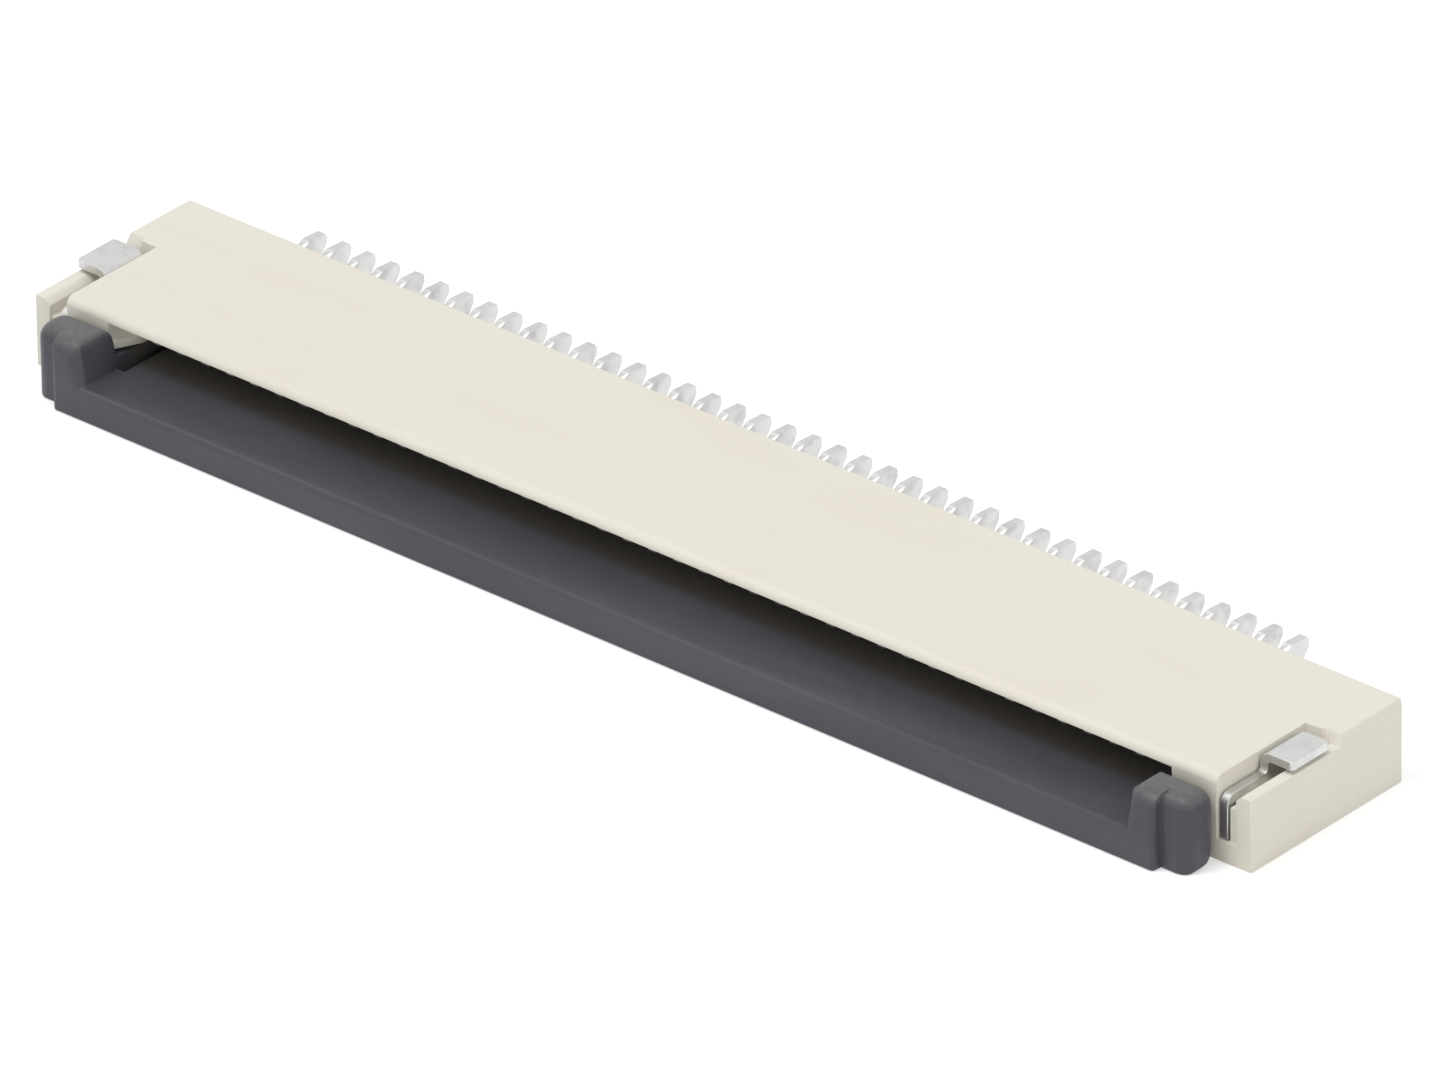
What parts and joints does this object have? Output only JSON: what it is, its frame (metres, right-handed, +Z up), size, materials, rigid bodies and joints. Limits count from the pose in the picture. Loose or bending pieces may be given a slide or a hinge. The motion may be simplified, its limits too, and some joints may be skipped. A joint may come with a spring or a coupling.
{
  "type": "flat cable connector",
  "caption": "Low board connector for a flat flexible cable: ivory housing, dark slide lock with raised ears, a row of stamped contacts with solder tails, and solder nails at both ends.",
  "frame": {"origin": "middle of the footprint, on the outside of the lid, which the part lies on", "axes": "+X along the row of contacts, +Y from the slider to the solder tails, +Z up, out of the side that is soldered to the board"},
  "size_m": [0.0242, 0.005, 0.0014],
  "materials": {
    "ivory_resin": "moulded heat-resistant resin, ivory, fine matt surface",
    "black_resin": "moulded heat-resistant resin, blue-black, satin",
    "tinned_metal": "stamped copper alloy with matt tin plating"
  },
  "bodies": {
    "housing": {"housing": "ivory_resin", "fitting_nail_left": "tinned_metal", "fitting_nail_right": "tinned_metal", "contact_01": "tinned_metal", "contact_02": "tinned_metal", "contact_03": "tinned_metal", "contact_04": "tinned_metal", "contact_05": "tinned_metal", "contact_06": "tinned_metal", "contact_07": "tinned_metal", "contact_08": "tinned_metal", "contact_09": "tinned_metal", "contact_10": "tinned_metal", "contact_11": "tinned_metal", "contact_12": "tinned_metal", "contact_13": "tinned_metal", "contact_14": "tinned_metal", "contact_15": "tinned_metal", "contact_16": "tinned_metal", "contact_17": "tinned_metal", "contact_18": "tinned_metal", "contact_19": "tinned_metal", "contact_20": "tinned_metal", "contact_21": "tinned_metal", "contact_22": "tinned_metal", "contact_23": "tinned_metal", "contact_24": "tinned_metal", "contact_25": "tinned_metal", "contact_26": "tinned_metal", "contact_27": "tinned_metal", "contact_28": "tinned_metal", "contact_29": "tinned_metal", "contact_30": "tinned_metal", "contact_31": "tinned_metal", "contact_32": "tinned_metal", "contact_33": "tinned_metal", "contact_34": "tinned_metal", "contact_35": "tinned_metal", "contact_36": "tinned_metal", "contact_37": "tinned_metal", "contact_38": "tinned_metal", "contact_39": "tinned_metal", "contact_40": "tinned_metal"},
    "slider": {"slider": "black_resin"}
  },
  "joints": [
    {"name": "slider_slide", "type": "slide", "parent": "housing", "child": "slider", "axis": [0, -1, 0], "range_m": [0, 0.001]}
  ]
}
